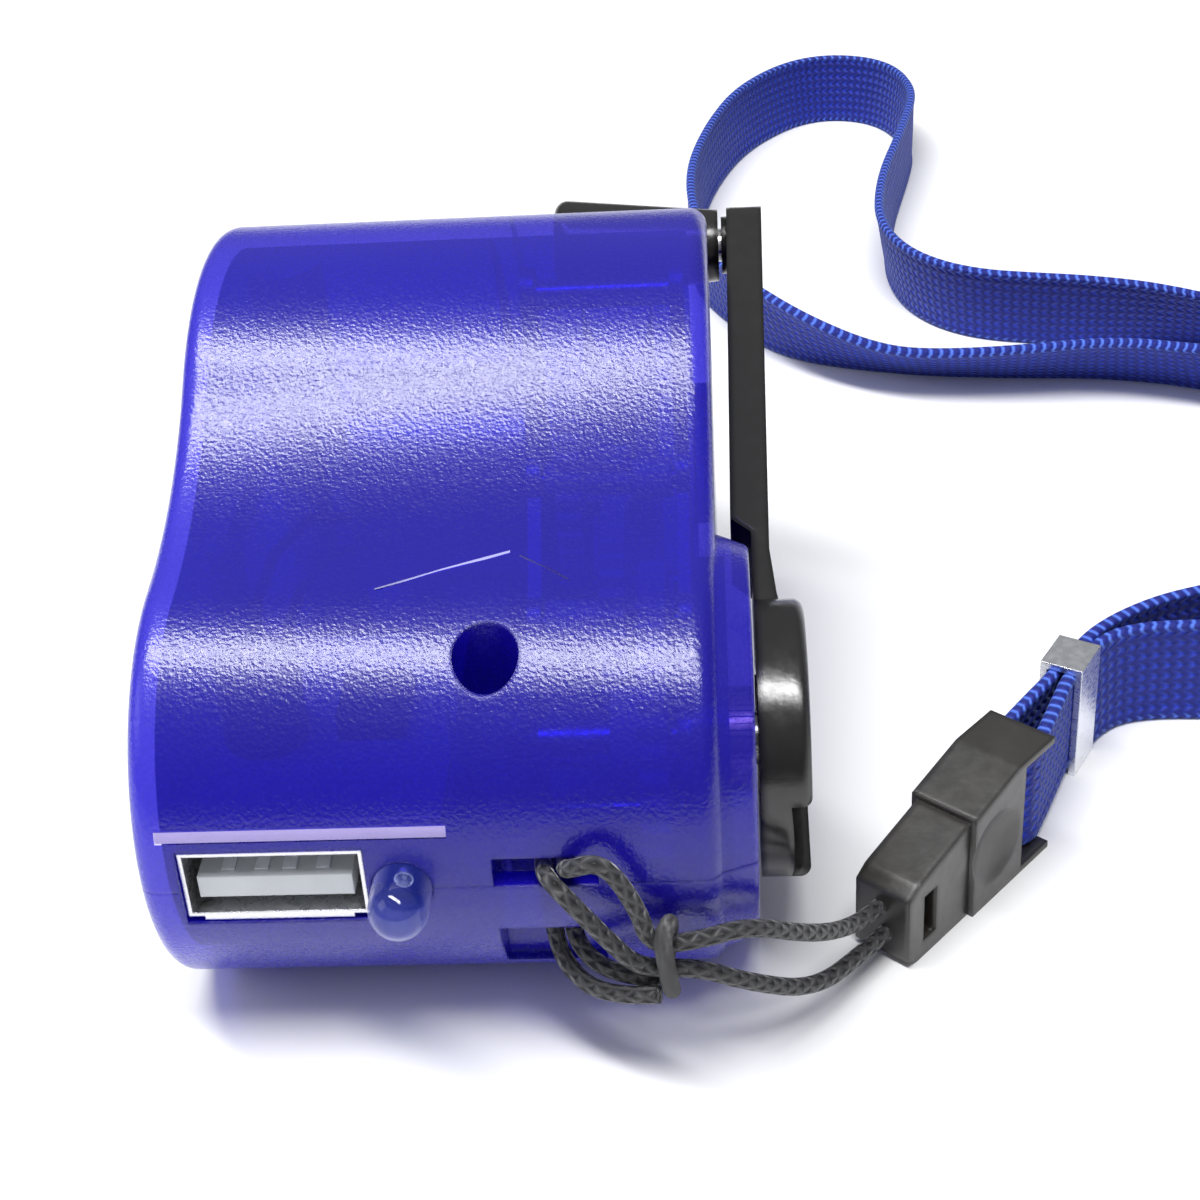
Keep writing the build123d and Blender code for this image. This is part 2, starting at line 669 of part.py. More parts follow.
def plan_edges(pts, radii, half, sign):
    edges = []
    at = pts[0]
    for i in range(1, len(pts) - 1):
        u = (pts[i] - pts[i - 1]).normalized()
        v = (pts[i + 1] - pts[i]).normalized()
        turn = atan2(u.X * v.Y - u.Y * v.X, u.dot(v))
        r = radii[i] + sign * half * (1 if turn > 0 else -1)
        t = r * tan(abs(turn) / 2)
        inward = (v - u).normalized()
        centre = pts[i] + inward * (r / cos(turn / 2))
        edges.append(Line(at, pts[i] - u * t))
        edges.append(ThreePointArc(pts[i] - u * t, centre - inward * r, pts[i] + v * t))
        at = pts[i] + v * t
    edges.append(Line(at, pts[-1]))
    return edges


# the two strands of the thin cord, from the buckle clip to the eye and back to the knot
STRAND_1 = [(32.37, -21.81, 4.9), (30.70, -23.80, 4.9), (27.2, -29.0, 8.6), (22.4, -32.9, 13.2),
            (18.8, -34.0, 12.9), (15.4, -34.3, 12.7), (14.7, -34.4, 16.4), (12.6, -34.1, 20.3),
            (10.1, -33.4, 19.1), (9.6, -31.4, 17.4), (9.6, -28.95, 17.2), (9.55, -28.7, 14.4),
            (9.6, -28.9, 11.6), (9.9, -30.5, 9.5), (12.6, -33.1, 8.9), (15.9, -33.5, 8.9)]
STRAND_2 = [(32.83, -22.19, 2.6), (30.90, -24.49, 2.6), (27.0, -29.6, 3.8), (22.2, -32.9, 7.8),
            (18.6, -34.0, 10.4), (14.6, -34.2, 10.5), (12.4, -34.2, 13.4), (10.0, -33.9, 16.6),
            (8.6, -32.7, 17.5), (8.05, -31.1, 17.3), (8.1, -28.95, 17.1), (8.0, -28.7, 14.0),
            (8.1, -28.9, 11.2), (8.9, -31.0, 8.1), (12.0, -34.0, 7.6), (15.9, -34.9, 8.7)]
KNOT_AT = (16.6, -34.15, 11.6)

CRIMP_TURN = atan2(CRIMP_AT[1] - BAR_XY[1], CRIMP_AT[0] - BAR_XY[0])


def from_crimp(along, across):
    """A plan point at the crimp, along the strap and to its left."""
    c = cos(CRIMP_TURN)
    s = sin(CRIMP_TURN)
    return (CRIMP_AT[0] + along * c - across * s, CRIMP_AT[1] + along * s + across * c)


# the neck strap lies on the table in one loop: out to the right, back behind the case,
# away to the far end and home beside itself
STRAP = [from_crimp(0, LAYER), from_crimp(4.4, LAYER),
         (55.6, 10.6), (61.6, 13.8), (72.0, 15.6), (82.5, 19.8), (89.6, 29.5), (91.4, 42.0),
         (87.8, 56.0), (78.0, 66.5), (66.0, 71.0), (53.0, 71.4), (40.0, 73.4), (28.0, 80.5),
         (20.0, 96.0), (17.8, 116.0), (21.0, 137.0), (26.5, 153.0), (36.0, 163.6),
         (46.5, 160.8), (50.5, 148.0), (47.6, 133.0), (43.4, 115.0), (42.4, 97.0), (49.0, 85.5),
         (62.0, 82.0), (77.0, 79.6), (90.0, 72.0), (97.6, 58.5), (99.6, 42.0), (97.0, 26.0),
         (88.0, 13.2), (76.5, 8.2), (66.0, 8.2), (57.2, 8.6),
         from_crimp(4.4, -LAYER), from_crimp(0, -LAYER)]


def lanyard_cord():
    return [tube(STRAND_1, CORD_R, WIDEST), tube(STRAND_2, CORD_R, WIDEST)]


def cord_knot():
    """The bight of the cord, drawn tight round both strands."""
    path = rounded_ring()
    start = Vector(0, -(CORD_R * 2 + 0.15), 0)
    ring = sweep(Plane(origin=start, z_dir=(0, 0, 1)) * Circle(CORD_R), path=path)
    return Pos(*KNOT_AT) * ring


def rounded_ring():
    r = CORD_R * 2 + 0.15
    h = 1.15
    edges = [Line((0, -r, -h), (0, -r, h)), ThreePointArc((0, -r, h), (0, 0, h + r), (0, r, h))]
    edges += [Line((0, r, h), (0, r, -h)), ThreePointArc((0, r, -h), (0, 0, -h - r), (0, -r, -h))]
    return Wire([e.edge() for e in edges])


BUCKLE = Pos(BUCKLE_AT[0], BUCKLE_AT[1], 0) * Rot(0, 0, BUCKLE_TURN)


def edge_prism(points, half):
    """A polygon of (x, z) points in the buckle's own frame, extruded across it."""
    face = make_face(Polyline(*[(p[0], 0, p[1]) for p in points], close=True))
    return Pos(0, -half, 0) * extrude(face, amount=2 * half, dir=(0, 1, 0))


def buckle_clip():
    side = [(0, 0.6), (1.2, 0), (CLIP_LEN, 0), (CLIP_LEN, 9.2), (1.2, 7.4), (0, 6.6)]
    clip = edge_prism(side, 2.5)
    for z in (1.7, 7.0):
        clip = clip + box(CLIP_LEN - 0.5, 13.2, -1.1, 1.1, z, z + 1.5)
    clip = clip - edge_prism([(1.9, 1.6), (3.6, 1.6), (3.6, 6.0), (1.9, 6.0)], 5)
    return BUCKLE * clip


def buckle_body():
    side = [(CLIP_LEN, 0), (BUCKLE_LEN, 0), (BUCKLE_LEN, BUCKLE_H), (14, BUCKLE_H), (CLIP_LEN, 9.6)]
    body = edge_prism(side, BUCKLE_HALF)
    body = body - box(CLIP_LEN - 1, 13.6, -1.5, 1.5, 1.3, 8.9)
    slot = box(14.9, BUCKLE_LEN + 1, -5, 5, 0.6, BUCKLE_H - 0.6)
    body = body - slot
    bar = rod_z(BAR_R, 0, BUCKLE_H, BAR_AT, 0)
    recess = Pos(11.0, -BUCKLE_HALF - 5.2, 5.2) * Sphere(6.2)
    return BUCKLE * (body + bar - recess)


def wrap_frame():
    """A plan frame at the buckle's bar, x towards the crimp, and the distance to it."""
    d = sqrt((CRIMP_AT[0] - BAR_XY[0]) ** 2 + (CRIMP_AT[1] - BAR_XY[1]) ** 2)
    return Pos(BAR_XY[0], BAR_XY[1], 0) * Rot(0, 0, degrees(CRIMP_TURN)), d


def strap_wrap():
    frame, d = wrap_frame()
    z1 = STRAP_Z + STRAP_W
    r0 = BAR_R + 0.1
    r1 = r0 + STRAP_T
    inside = LAYER - STRAP_T / 2
    outside = LAYER + STRAP_T / 2
    ring = rod_z(r1, STRAP_Z, z1, 0, 0) - rod_z(r0, STRAP_Z - 1, z1 + 1, 0, 0)
    wrap = ring - box(0, 5, -5, 5, STRAP_Z - 1, z1 + 1)
    for s in (1, -1):
        pts = [(0, s * r0), (0, s * r1), (d - 2.3, s * outside), (d, s * outside)]
        pts += [(d, s * inside), (d - 2.3, s * inside)]
        face = make_face(Polyline(*[(p[0], p[1], STRAP_Z) for p in pts], close=True))
        wrap = wrap + extrude(face, amount=STRAP_W, dir=(0, 0, 1))
    return frame * wrap


def strap_crimp():
    frame, d = wrap_frame()
    half = LAYER + STRAP_T / 2
    roof = STRAP_Z + STRAP_W
    outer = box(d - 2.2, d + 2.2, -half - 0.6, half + 0.6, 0, roof + 0.6)
    return frame * (outer - box(d - 3, d + 3, -half, half, -1, roof))


def neck_strap():
    strap = ribbon(STRAP, WIDEST, STRAP_T, 0.0, STRAP_W)
    print("  strap length %.0f" % (strap.volume / (STRAP_T * STRAP_W)))
    return strap


def generator_leads():
    y = G3[0] - 8.5
    z = BOARD_Z + BOARD_T
    out = []
    for x, zc, yb in ((-12.9, G3[1] - 2.4, -8.6), (-14.6, G3[1] + 1.0, -10.8)):
        pts = [(CAN_X0 - CAP_T, y, zc), (x, y, zc), (x, y - 14, zc + 5), (x, yb, zc + 5.5),
               (x, yb, z)]
        out.append(tube(pts, 0.45, 1.5))
    return out


def crank_bush():
    return rod_x(BUSH_R, OUTER_PLATE[1], BOSS_X, G0) - rod_x(AXLE_R + FIT, 18, 24, G0)


def build_all():
    case = whole_case()
    cutter = below_seam()
    parts = {"upper_shell": case - cutter, "lower_shell": case & cutter}
    makers = [case_screws, crank_bush, usb_shell, usb_tongue, usb_contacts, led_lens, led_leads,
              circuit_board, capacitor, regulator, generator_can, generator_end_cap,
              stator_coils, inner_gear_plate, outer_gear_plate, plate_pillars, gear_axles,
              generator_leads, lanyard_cord, cord_knot, buckle_clip, buckle_body, strap_wrap,
              strap_crimp, neck_strap, crank_hub, crank_axle, drive_gear, hub_pin, crank_arm,
              knob_screw, crank_knob, first_gear, second_gear, rotor_magnet, rotor_shaft,
              rotor_pinion]
    for maker in makers:
        print(maker.__name__)
        parts[maker.__name__] = maker()
    return parts


os.makedirs("parts", exist_ok=True)
for name, shape in build_all().items():
    group = shape if isinstance(shape, list) else [shape]
    solids = [s for g in group for s in g.solids()]
    whole = solids[0] if len(solids) == 1 else Compound(children=solids)
    export_step(whole, "parts/%s.step" % name)
    b = whole.bounding_box()
    print("%-18s solids %d volume %9.2f  X %.2f..%.2f Y %.2f..%.2f Z %.2f..%.2f" % (
        name, len(solids), whole.volume, b.min.X, b.max.X, b.min.Y, b.max.Y, b.min.Z, b.max.Z))
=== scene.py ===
import bpy
from math import sin, cos, atan2, dist, pi, radians
from mathutils import Vector, Matrix


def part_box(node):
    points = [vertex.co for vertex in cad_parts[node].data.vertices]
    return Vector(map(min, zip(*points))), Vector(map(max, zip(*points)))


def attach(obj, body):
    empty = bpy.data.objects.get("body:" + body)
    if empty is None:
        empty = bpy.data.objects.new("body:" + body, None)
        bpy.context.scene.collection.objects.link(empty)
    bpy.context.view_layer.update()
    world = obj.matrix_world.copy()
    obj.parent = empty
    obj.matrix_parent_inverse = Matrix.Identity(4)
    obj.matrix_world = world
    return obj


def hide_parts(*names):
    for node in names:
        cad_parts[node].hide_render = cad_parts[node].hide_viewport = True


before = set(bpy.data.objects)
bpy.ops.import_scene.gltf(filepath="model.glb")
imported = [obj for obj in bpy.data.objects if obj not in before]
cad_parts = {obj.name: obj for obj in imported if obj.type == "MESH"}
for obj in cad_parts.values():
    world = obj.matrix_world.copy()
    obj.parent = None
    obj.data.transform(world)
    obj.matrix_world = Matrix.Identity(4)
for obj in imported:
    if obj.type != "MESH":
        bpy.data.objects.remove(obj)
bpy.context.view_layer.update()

MM = 0.001

# ---- driving sizes, in millimetres ---------------------------------------------
CORD_R = 0.65
STRAP_W = 9.6
STRAP_T = 1.2
BUCKLE_AT = (32.6, -22.0)
BUCKLE_TURN = radians(50)
BAR_REACH = 17.9             # from the buckle's rear end to the bar that holds the strap
BAR_AT = (BUCKLE_AT[0] + BAR_REACH * cos(BUCKLE_TURN), BUCKLE_AT[1] + BAR_REACH * sin(BUCKLE_TURN))
CRIMP_AT = (50.2, 2.6)
CRIMP_TURN = atan2(CRIMP_AT[1] - BAR_AT[1], CRIMP_AT[0] - BAR_AT[0])
CRIMP_HALF = 2.3
CRIMP_END = 4.4              # from the crimp to where the strap's two layers part
LAYER = STRAP_T / 2 + 0.03   # from the crimp's middle to each layer's middle
BAR_R = 1.1
LAMP_AT = (-1.85, -34.3, 16.5)
FRONT_R = 16.5
FRONT_AT = (-15.5, 16.5)     # the front lobe's axis: Y, Z
FRONT_WALL = (-34, -28)      # Y, Y
BOARD_EDGE = (-18.9, 1.6, 20.5, 21.4)      # where the board touches the front wall: X, X, Z, Z
EDGE_DEPTH = 0.15            # from the wall's outer face to the board's edge
EDGE_CROWN = 0.06
CREASE_RISE = 0.05

# ---- weave -----------------------------------------------------------------------
WARP_CORDS = 9               # side by side over the strap's width
WEFT_PITCH = 0.0011          # metres
WEFT_SLANT = 0.35
BRAID_STRANDS = 4            # in each direction round the cord
BRAID_PITCH = 0.0016         # metres

# ---- camera --------------------------------------------------------------------
EYE = Vector((21.601, -142.739, 111.662)) * MM
LOOK = Vector((-0.061463, 0.840133, -0.538887))
UP = Vector((0.031153, 0.541259, 0.840278))
LENS = 62.34
SHIFT_Y = -0.00625

# ---- routes, in millimetres ----------------------------------------------------
STRAND_1 = [(32.37, -21.81, 4.9), (30.70, -23.80, 4.9), (27.2, -29.0, 8.6), (22.4, -32.9, 13.2),
            (18.8, -34.0, 12.9), (15.4, -34.3, 12.7), (14.7, -34.4, 16.4), (12.6, -34.1, 20.3),
            (10.1, -33.4, 19.1), (9.6, -31.4, 17.4), (9.6, -28.95, 17.2), (9.55, -28.7, 14.4),
            (9.6, -28.9, 11.6), (9.9, -30.5, 9.5), (12.6, -33.1, 8.9), (15.9, -33.5, 8.9)]
STRAND_2 = [(32.83, -22.19, 2.6), (30.90, -24.49, 2.6), (27.0, -29.6, 3.8), (22.2, -32.9, 7.8),
            (18.6, -34.0, 10.4), (14.6, -34.2, 10.5), (12.4, -34.2, 13.4), (10.0, -33.9, 16.6),
            (8.6, -32.7, 17.5), (8.05, -31.1, 17.3), (8.1, -28.95, 17.1), (8.0, -28.7, 14.0),
            (8.1, -28.9, 11.2), (8.9, -31.0, 8.1), (12.0, -34.0, 7.6), (15.9, -34.9, 8.7)]
KNOT_AT = (16.6, -34.15, 11.6)
KNOT_R = 1.45
KNOT_HALF = 1.15             # half the height that the two strands take
KNOT_DEPTH = 1.08            # the loop's depth over its radius
KNOT_SKEW = 0.25


def from_crimp(along, across):
    """A plan point at the crimp, along the strap and to its left."""
    c = cos(CRIMP_TURN)
    s = sin(CRIMP_TURN)
    return (CRIMP_AT[0] + along * c - across * s, CRIMP_AT[1] + along * s + across * c)


STRAP = [from_crimp(0, LAYER), from_crimp(CRIMP_END, LAYER),
         (55.6, 10.6), (61.6, 13.8), (72.0, 15.6), (82.5, 19.8), (89.6, 29.5), (91.4, 42.0),
         (87.8, 56.0), (78.0, 66.5), (66.0, 71.0), (53.0, 71.4), (40.0, 73.4), (28.0, 80.5),
         (20.0, 96.0), (17.8, 116.0), (21.0, 137.0), (26.5, 153.0), (36.0, 163.6),
         (46.5, 160.8), (50.5, 148.0), (47.6, 133.0), (43.4, 115.0), (42.4, 97.0), (49.0, 85.5),
         (62.0, 82.0), (77.0, 79.6), (90.0, 72.0), (97.6, 58.5), (99.6, 42.0), (97.0, 26.0),
         (88.0, 13.2), (76.5, 8.2), (66.0, 8.2), (57.2, 8.6),
         from_crimp(CRIMP_END, -LAYER), from_crimp(0, -LAYER)]
# how far the strap leans from standing on its edge: (share of its length, degrees)
LEAN = [(0.0, 0), (0.02, 0), (0.08, 12), (0.16, 20), (0.21, 40), (0.27, 52), (0.32, 20), (0.36, 4),
        (0.42, 8), (0.50, 14), (0.58, 4), (0.66, -6), (0.71, -4), (0.76, -30), (0.81, -48),
        (0.87, -20), (0.94, -4), (0.98, 0), (1.0, 0)]


# ---- node helpers ---------------------------------------------------------------
class Nodes:
    """A material's node tree, with short calls to add and join nodes."""

    def __init__(self, name):
        self.mat = bpy.data.materials.new(name)
        self.mat.use_nodes = True
        self.tree = self.mat.node_tree
        self.shader = self.tree.nodes["Principled BSDF"]
        self.out = self.tree.nodes["Material Output"]

    def add(self, kind, **settings):
        node = self.tree.nodes.new(kind)
        for key, value in settings.items():
            setattr(node, key, value)
        return node

    def join(self, source, target):
        self.tree.links.new(source, target)

    def set(self, node, **values):
        for key, value in values.items():
            node.inputs[key.replace("_", " ")].default_value = value

    def base(self, colour, roughness, metallic=0.0):
        self.set(self.shader, Base_Color=(*colour, 1), Roughness=roughness, Metallic=metallic)

    def drive(self, name, source):
        """Joins a socket to one of the shader's own."""
        self.join(source, self.shader.inputs[name])

    def coords(self, scale, stretch=(1, 1, 1)):
        place = self.add("ShaderNodeTexCoord")
        mapping = self.add("ShaderNodeMapping")
        mapping.inputs["Scale"].default_value = [scale * s for s in stretch]
        self.join(place.outputs["Object"], mapping.inputs["Vector"])
        return mapping.outputs["Vector"]

    def uv(self):
        """A swept piece's share across its section, and its metres along."""
        place = self.add("ShaderNodeUVMap")
        split = self.add("ShaderNodeSeparateXYZ")
        self.join(place.outputs["UV"], split.inputs["Vector"])
        return split.outputs["X"], split.outputs["Y"]

    def noise(self, scale, detail, stretch=(1, 1, 1)):
        noise = self.add("ShaderNodeTexNoise")
        self.set(noise, Scale=1.0, Detail=detail)
        self.join(self.coords(scale, stretch), noise.inputs["Vector"])
        return noise.outputs["Fac"]

    def facing(self, blend):
        """0 where a face is seen straight on, up to 1 at its rim."""
        weight = self.add("ShaderNodeLayerWeight")
        weight.inputs["Blend"].default_value = blend
        return weight.outputs["Facing"]

    def maths(self, operation, a, b=0.0):
        """One math node, fed with numbers or sockets."""
        node = self.add("ShaderNodeMath", operation=operation)
        for socket, value in zip(node.inputs, (a, b)):
            if isinstance(value, (int, float)):
                socket.default_value = value
            else:
                self.join(value, socket)
        return node.outputs["Value"]

    def wave(self, socket, times=1.0):
        """The sine of a socket's value, times a number."""
        return self.maths("SINE", self.maths("MULTIPLY", socket, times))

    def ramp(self, fac, low, high, c0, c1):
        ramp = self.add("ShaderNodeMapRange")
        self.set(ramp, From_Min=low, From_Max=high, To_Min=c0, To_Max=c1)
        self.join(fac, ramp.inputs["Value"])
        return ramp.outputs["Result"]

    def mix(self, fac, a, b):
        """A mix of two colours, each a tuple or a socket."""
        mix = self.add("ShaderNodeMix", data_type="RGBA")
        self.join(fac, mix.inputs["Factor"])
        for key, colour in (("A", a), ("B", b)):
            if isinstance(colour, tuple):
                mix.inputs[key].default_value = (*colour, 1)
            else:
                self.join(colour, mix.inputs[key])
        return mix.outputs["Result"]

    def blend(self, fac, a, b):
        """A mix of two shaders."""
        mix = self.add("ShaderNodeMixShader")
        self.join(fac, mix.inputs["Fac"])
        self.join(a, mix.inputs[1])
        self.join(b, mix.inputs[2])
        return mix.outputs["Shader"]

    def bump(self, height, strength, distance, edge=0.0):
        """Relief on the surface; edge rounds the corners by that radius."""
        bump = self.add("ShaderNodeBump")
        self.set(bump, Strength=strength, Distance=distance)
        self.join(height, bump.inputs["Height"])
        if edge:
            bevel = self.add("ShaderNodeBevel", samples=4)
            bevel.inputs["Radius"].default_value = edge
            self.join(bevel.outputs["Normal"], bump.inputs["Normal"])
        self.join(bump.outputs["Normal"], self.shader.inputs["Normal"])
        return bump


# ---- materials -------------------------------------------------------------------
def in_box(n, low, high):
    """1 inside a box given in millimetres, 0 outside it."""
    split = n.add("ShaderNodeSeparateXYZ")
    n.join(n.coords(1 / MM), split.inputs["Vector"])
    inside = 1.0
    for axis, a, b in zip("XYZ", low, high):
        off_middle = n.maths("SUBTRACT", split.outputs[axis], (a + b) / 2)
        near = n.maths("LESS_THAN", n.maths("ABSOLUTE", off_middle), (b - a) / 2)
        inside = n.maths("MULTIPLY", near, inside)
    return inside


def see_through(n, share, tint):
    """Lets a share of the light pass a wall's face; the wall's other face adds nothing.

    More passes where the circuit board's edge lies against the front wall."""
    x0, x1, z0, z1 = BOARD_EDGE
    touch = in_box(n, (x0, FRONT_WALL[0], z0), (x1, FRONT_WALL[1], z1))
    clear = n.add("ShaderNodeBsdfTransparent")
    n.join(n.mix(touch, tint, (0.80, 0.76, 1.0)), clear.inputs["Color"])
    by_angle = n.ramp(n.facing(0.5), 0.3, 1.0, share, 0.04)
    passes = n.maths("MAXIMUM", by_angle, n.maths("MULTIPLY", touch, 0.88))
    wall = n.blend(passes, n.shader.outputs["BSDF"], clear.outputs["BSDF"])
    empty = n.add("ShaderNodeBsdfTransparent")
    side = n.add("ShaderNodeNewGeometry")
    one_sided = n.blend(side.outputs["Backfacing"], wall, empty.outputs["BSDF"])
    n.join(one_sided, n.out.inputs["Surface"])


def shell_material():
    """Satin, see-through blue: the grain breaks the highlights into fine speckle."""
    n = Nodes("translucent_blue")
    n.base((0.008, 0.003, 0.38), 0.24)
    n.drive("Base Color", n.mix(n.noise(25, 1), (0.006, 0.002, 0.33), (0.012, 0.005, 0.43)))
    n.set(n.shader, Coat_Weight=0.5, Coat_Roughness=0.22, IOR=1.5, Specular_IOR_Level=0.6)
    n.drive("Roughness", n.ramp(n.noise(2600, 2), 0.3, 0.7, 0.20, 0.30))
    grain = n.bump(n.noise(3400, 1.5), 1.0, 0.00004, 0.0004)
    n.drive("Coat Normal", grain.outputs["Normal"])
    see_through(n, 0.34, (0.10, 0.08, 0.82))
    return n.mat


def black_plastic(name, roughness, colour, grain, gloss):
    """Black moulded plastic, a little browner and duller where it is handled."""
    n = Nodes(name)
    n.base(colour, roughness)
    n.set(n.shader, IOR=1.5, Specular_IOR_Level=gloss)
    worn = tuple(1.6 * c for c in colour)
    n.drive("Base Color", n.mix(n.ramp(n.noise(300, 3), 0.45, 0.8, 0.0, 1.0), colour, worn))
    n.drive("Roughness", n.ramp(n.noise(900, 3), 0.3, 0.7, roughness - 0.04, roughness + 0.06))
    n.bump(n.noise(grain, 2), 0.5, 0.00002, 0.0008)
    return n.mat


def plastic(name, colour, roughness):
    """A plain moulding, a little uneven in tone."""
    n = Nodes(name)
    n.base(colour, roughness)
    tint = tuple(c * 0.82 for c in colour)
    n.drive("Base Color", n.mix(n.noise(250, 3), tint, colour))
    n.bump(n.noise(2500, 2), 0.2, 0.00004, 0.0002)
    return n.mat


def metal(name, colour, roughness, brushed=(1, 1, 1)):
    """Plated or turned metal; brushed stretches its grain along an axis."""
    n = Nodes(name)
    n.base(colour, roughness, 1.0)
    streak = n.noise(1500, 3, brushed)
    n.drive("Roughness", n.ramp(streak, 0.3, 0.7, roughness * 0.7, roughness * 1.4))
    n.bump(streak, 0.15, 0.00003, 0.00015)
    return n.mat


def clear_lens():
    """Clear epoxy: glossy, with a painted pale reflection towards its rim, and open to what lies
    behind it.
    """
    n = Nodes("clear_lens")
    n.base((0.05, 0.07, 0.40), 0.05)
    n.set(n.shader, IOR=1.5, Specular_IOR_Level=1.0, Coat_Weight=1.0, Coat_Roughness=0.03)
    rim = n.ramp(n.facing(0.4), 0.35, 0.95, 0.0, 1.0)
    # painted reflection: the base colour turns pale lilac towards the rim, where the dome reflects
    # its surroundings
    n.drive("Base Color", n.mix(rim, (0.03, 0.05, 0.36), (0.50, 0.50, 0.88)))
    n.drive("Roughness", n.ramp(n.noise(700, 2), 0.3, 0.7, 0.02, 0.08))
    n.bump(n.noise(400, 1), 0.1, 0.00003)
    clear = n.add("ShaderNodeBsdfTransparent")
    clear.inputs["Color"].default_value = (0.90, 0.94, 1.0, 1)
    solid = n.ramp(rim, 0.0, 1.0, 0.35, 0.95)
    lens = n.blend(solid, clear.outputs["BSDF"], n.shader.outputs["BSDF"])
    n.join(lens, n.out.inputs["Surface"])
    return n.mat


def board_material():
    """Pale laminate with a pattern of pads and tracks."""
    n = Nodes("laminate")
    n.base((0.42, 0.40, 0.60), 0.4)
    bricks = n.add("ShaderNodeTexBrick")
    n.set(bricks, Scale=1.0, Mortar_Size=0.06, Brick_Width=1.6, Row_Height=0.9)
    n.set(bricks, Color1=(0.50, 0.46, 0.66, 1), Color2=(0.40, 0.38, 0.60, 1))
    n.set(bricks, Mortar=(0.75, 0.7, 0.8, 1))
    n.join(n.coords(700), bricks.inputs["Vector"])
    n.drive("Base Color", bricks.outputs["Color"])
    n.bump(bricks.outputs["Fac"], 0.2, 0.00005)
    return n.mat


def copper_wire():
    """Turns of enamelled wire, side by side."""
    n = Nodes("copper_winding")
    n.base((0.62, 0.24, 0.10), 0.35, 0.9)
    wave = n.add("ShaderNodeTexWave", wave_type="BANDS", bands_direction="X")
    n.set(wave, Scale=1.0, Distortion=0.6)
    n.join(n.coords(900), wave.inputs["Vector"])
    n.drive("Base Color", n.mix(wave.outputs["Fac"], (0.30, 0.10, 0.04), (0.72, 0.32, 0.14)))
    n.bump(wave.outputs["Fac"], 0.6, 0.0001)
    return n.mat


def woven_strap():
    """Warp cords run along the strap; each is crossed by the weft in a herringbone."""
    n = Nodes("woven_blue")
    n.base((0.008, 0.04, 0.45), 0.7)
    n.set(n.shader, Sheen_Weight=0.2, Sheen_Roughness=0.4, Sheen_Tint=(0.4, 0.55, 1.0, 1))
    across, along = n.uv()
    warp = n.wave(across, 2 * pi * WARP_CORDS)
    slant = n.maths("MULTIPLY", warp, WEFT_SLANT * pi)
    weft = n.wave(n.maths("ADD", n.maths("MULTIPLY", along, 2 * pi / WEFT_PITCH), slant))
    height = n.maths("MULTIPLY", n.maths("ADD", weft, 1.0), n.maths("ADD", warp, 1.3))
    tone = n.ramp(height, 0.0, 4.0, 0.0, 1.0)
    blotch = n.maths("MULTIPLY", tone, n.ramp(n.noise(150, 3), 0.3, 0.7, 0.75, 1.1))
    cloth = n.mix(blotch, (0.003, 0.010, 0.20), (0.008, 0.038, 0.55))
    off_middle = n.maths("ABSOLUTE", n.maths("SUBTRACT", across, 0.5))
    edge = n.ramp(off_middle, 0.42, 0.46, 0.0, 1.0)
    stitch = n.maths("MULTIPLY", edge, n.ramp(weft, 0.2, 0.9, 0.0, 0.8))
    n.drive("Base Color", n.mix(stitch, cloth, (0.10, 0.22, 0.85)))
    n.bump(height, 0.7, 0.00014)
    return n.mat


def braided_cord():
    """Two sets of strands that wind round the cord in opposite directions."""
    n = Nodes("braided_black")
    n.base((0.012, 0.012, 0.013), 0.55)
    n.set(n.shader, Sheen_Weight=0.3, Sheen_Roughness=0.4)
    across, along = n.uv()
    around = n.maths("MULTIPLY", across, 2 * pi * BRAID_STRANDS)
    onward = n.maths("MULTIPLY", along, 2 * pi / BRAID_PITCH)
    left = n.wave(n.maths("ADD", around, onward))
    right = n.wave(n.maths("SUBTRACT", around, onward))
    height = n.maths("MAXIMUM", left, right)
    tone = n.ramp(height, -0.5, 1.0, 0.0, 1.0)
    n.drive("Base Color", n.mix(tone, (0.004, 0.004, 0.005), (0.045, 0.045, 0.05)))
    n.bump(height, 0.8, 0.00015)
    return n.mat


def table_material():
    """A white table with hardly any grain."""
    n = Nodes("table_white")
    n.base((0.97, 0.97, 0.975), 0.6)
    n.bump(n.noise(120, 3), 0.02, 0.0001)
    return n.mat


def paint(node, material):
    """Gives a CAD node's object its material."""
    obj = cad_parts[node]
    for slot in obj.material_slots:
        slot.material = material
    if not obj.material_slots:
        obj.data.materials.append(material)


